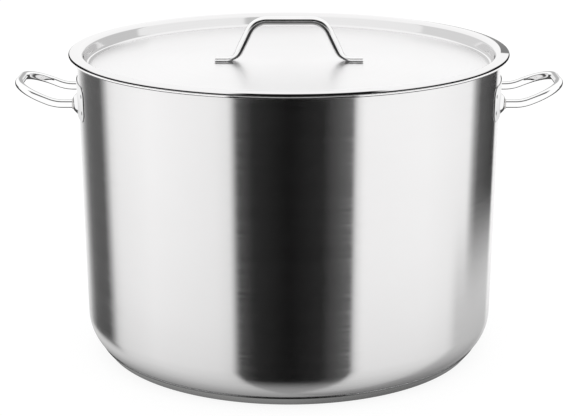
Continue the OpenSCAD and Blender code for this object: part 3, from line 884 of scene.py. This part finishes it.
    # painted shade on the panel in front of each foot, standing in for the foot's dark front edge mirrored there; keyed
    # to the spot on the panel
    painted_foot_shade = N.math("MULTIPLY", between(N, aox, 0.0535, 0.0708, 0.0008), between(N, N.math("MULTIPLY", oy, -1.0), 0.004, 0.0175, 0.0012))
    panel = N.mix(N.math("MULTIPLY", N.math("SUBTRACT", 1.0, again), painted_foot_shade), panel, (0.16, 0.16, 0.16, 1))
    on_lid = N.math("MULTIPLY", N.math("GREATER_THAN", oz, 0.2812), N.math("LESS_THAN", orad, 0.2025))
    on_panel = N.math("MULTIPLY", on_lid, N.math("LESS_THAN", oz, 0.2826))
    out = N.mix(on_lid, out, N.mix(N.smooth(oz, 0.2915, 0.2925), recess, (1.0, 1.0, 1.0, 1)))
    out = N.mix(on_panel, out, panel)

    # 4. the grip on the lid: painted reflections, with dark bands keyed to where on the grip and its feet the ray
    #    leaves; seen in the panel, the grip is painted darker
    lifted = N.math("SUBTRACT", el, N.smooth(aox, 0.055, 0.062, 0.0, 75.0))
    grip = N.math("MULTIPLY", N.smooth(aaz, 34, 44, 1.0, 0.0), N.smooth(lifted, 36, 44, 1.0, 0.0))
    grip = N.math("MULTIPLY", grip, N.math("MAXIMUM", N.smooth(aox, 0.034, 0.042, 1.0, 0.0), N.smooth(aox, 0.054, 0.059)))
    rear = N.math("MULTIPLY", between(N, aaz, 138, 160, 3.0), N.math("MULTIPLY", N.smooth(aox, 0.030, 0.036), N.smooth(el, 10, 16, 0.75, 0.0)))
    grip = N.math("MAXIMUM", grip, rear)
    # painted shade: the grip as mirrored in the panel, darker towards its lower part
    painted_mirrored_grip = N.math("MULTIPLY", N.smooth(aaz, 60, 90, 1.0, 0.0), N.smooth(oz, 0.286, 0.293, 1.0, 0.3))
    grip = N.mixf(again, grip, painted_mirrored_grip)
    grip = N.math("SUBTRACT", 1.02, N.math("MULTIPLY", grip, 1.0))
    on_grip = N.math("MULTIPLY", N.math("GREATER_THAN", oz, 0.2827), N.math("LESS_THAN", orad, 0.085))
    out = N.mix(on_grip, out, grip)

    # 5. side handles and their plates: white cards all round with narrow gaps between them
    ang = N.math("MULTIPLY", N.math("ARCTAN2", dz, N.math("MULTIPLY", dy, -1.0)), 180 / pi)
    narrow = N.smooth(adx, 0.10, 0.30, 1.0, 0.0)
    along = N.math("SUBTRACT", N.math("MULTIPLY", dy, 0.9636), N.math("MULTIPLY", dz, 0.2667))
    gap1 = N.math("MULTIPLY", between(N, ang, 48, 80, 3.0), N.smooth(adx, 0.45, 0.60, 1.0, 0.0))
    lower = N.math("MULTIPLY", N.smooth(along, 0.34, 0.46), N.smooth(dz, -0.23, -0.18, 1.0, 0.0))
    upper = N.math("MULTIPLY", narrow, N.math("MULTIPLY", N.smooth(along, 0.5, 0.65), N.smooth(dz, -0.2, -0.1)))
    sector = N.math("ADD", between(N, az_deg, 116, 166, 2.0), between(N, az_deg, -165, -116, 2.0))
    sector = N.math("MULTIPLY", sector, N.smooth(dz, -0.02, 0.08, 1.0, 0.0))
    gaps = N.math("MAXIMUM", N.math("MULTIPLY", gap1, 0.95), N.math("MAXIMUM", N.math("MULTIPLY", lower, 1.0), N.math("MULTIPLY", upper, 0.6)))
    gaps = N.math("MAXIMUM", gaps, N.math("MULTIPLY", sector, 1.0))
    hand = N.math("SUBTRACT", 1.08, gaps)
    wall0 = (CURL_X - RIM_R + WALL_T - CURL_Z * math.tan(LEAN)) * MM
    off_wall = N.math("SUBTRACT", orad, N.math("ADD", wall0, N.math("MULTIPLY", oz, math.tan(LEAN))))
    # a plate: painted bright face, painted dark rounded edge and painted dark press marks, keyed to how far the spot
    # the ray leaves stands off the wall; the face is painted brighter towards the top
    face = N.mixf(N.smooth(off_wall, 0.0011, 0.00142), 0.04, N.smooth(oz, 0.236, 0.262, 0.80, 0.95))
    hand = N.mixf(N.smooth(off_wall, 0.0020, 0.0030, 1.0, 0.0), hand, face)
    below = N.math("MULTIPLY", N.math("LESS_THAN", oz, 0.2845), N.math("GREATER_THAN", oz, 0.2))
    rolled = N.math("MULTIPLY", between(N, oz, 0.2845, 0.2885, 0.00001), N.math("GREATER_THAN", off_wall, 0.0016))
    on_hand = N.math("MAXIMUM", N.math("MULTIPLY", below, N.math("GREATER_THAN", off_wall, 0.0002)), rolled)
    out = N.mix(on_hand, out, hand)
    return out, lp


world = bpy.data.worlds.new("studio")
bpy.context.scene.world = world
world.use_nodes = True
N = Nodes(world.node_tree)
wout = N.new("ShaderNodeOutputWorld")
bg_w = N.new("ShaderNodeBackground")
bg_w.inputs[0].default_value = (1, 1, 1, 1)
bg_w.inputs[1].default_value = 1.0
N.link(bg_w.outputs[0], wout.inputs[0])
world.cycles.sampling_method = "NONE"

fm = bpy.data.materials.new("floor_pale")
fm.use_nodes = True
N = Nodes(fm.node_tree)
fo = N.new("ShaderNodeOutputMaterial")
seen, lp = studio_and_painted_reflections(N)
em = N.new("ShaderNodeEmission")
N.link(seen, em.inputs[0])
df = N.new("ShaderNodeBsdfDiffuse")
geo = N.new("ShaderNodeNewGeometry")
mottle = N.new("ShaderNodeTexNoise")
mottle.inputs["Scale"].default_value = 3.0
N.link(geo.outputs["Position"], mottle.inputs["Vector"])
N.link(N.ramp(mottle.outputs["Fac"], [(0.0, (0.20, 0.20, 0.20)), (1.0, (0.22, 0.22, 0.22))]), df.inputs[0])
e2 = N.new("ShaderNodeEmission")
e2.inputs[1].default_value = 0.84
both = N.new("ShaderNodeAddShader")
N.link(e2.outputs[0], both.inputs[0])
N.link(df.outputs[0], both.inputs[1])
m3 = N.new("ShaderNodeMixShader")
N.link(lp.outputs["Is Glossy Ray"], m3.inputs[0])
N.link(both.outputs[0], m3.inputs[1])
N.link(em.outputs[0], m3.inputs[2])
N.link(m3.outputs[0], fo.inputs[0])
fm.cycles.emission_sampling = "NONE"

fl_verts = [(-9000, -9000, -0.05), (9000, -9000, -0.05), (9000, 9000, -0.05), (-9000, 9000, -0.05)]
floor = new_object("floor", fl_verts, [(0, 1, 2, 3)], fm, smooth=False)

dm = bpy.data.materials.new("studio_dome")
dm.use_nodes = True
N = Nodes(dm.node_tree)
do = N.new("ShaderNodeOutputMaterial")
seen, lp = studio_and_painted_reflections(N)
em = N.new("ShaderNodeEmission")
N.link(seen, em.inputs[0])
clear = N.new("ShaderNodeBsdfTransparent")
m4 = N.new("ShaderNodeMixShader")
N.link(lp.outputs["Is Glossy Ray"], m4.inputs[0])
N.link(clear.outputs[0], m4.inputs[1])
N.link(em.outputs[0], m4.inputs[2])
N.link(m4.outputs[0], do.inputs[0])
dm.cycles.emission_sampling = "NONE"
dome = lathe("studio_dome", [(8000 * math.cos(math.radians(a)), 8000 * math.sin(math.radians(a)) - 1) for a in range(0, 90, 5)] + [(0, 7999)], dm, segs=72)
# ---------------------------------------------------------------- camera
cam_data = bpy.data.cameras.new("camera")
cam = bpy.data.objects.new("camera", cam_data)
bpy.context.scene.collection.objects.link(cam)
elev = math.radians(15.47)
aim = Vector((0, 0, 0.15075))
d = 1.6683
cam.location = aim + Vector((0, -d * math.cos(elev), d * math.sin(elev)))
cam.rotation_euler = (pi / 2 - elev, 0, 0)
cam_data.sensor_width = 36.0
cam_data.lens = 1692.0 / 576.0 * 36.0
cam_data.shift_x = -1.0 / 576.0
cam_data.shift_y = -16.7 / 576.0
cam_data.clip_end = 50
bpy.context.scene.camera = cam
vs = bpy.context.scene.view_settings
vs.view_transform = "Standard"
vs.look = "None"
vs.exposure = 0.0
vs.gamma = 1.0
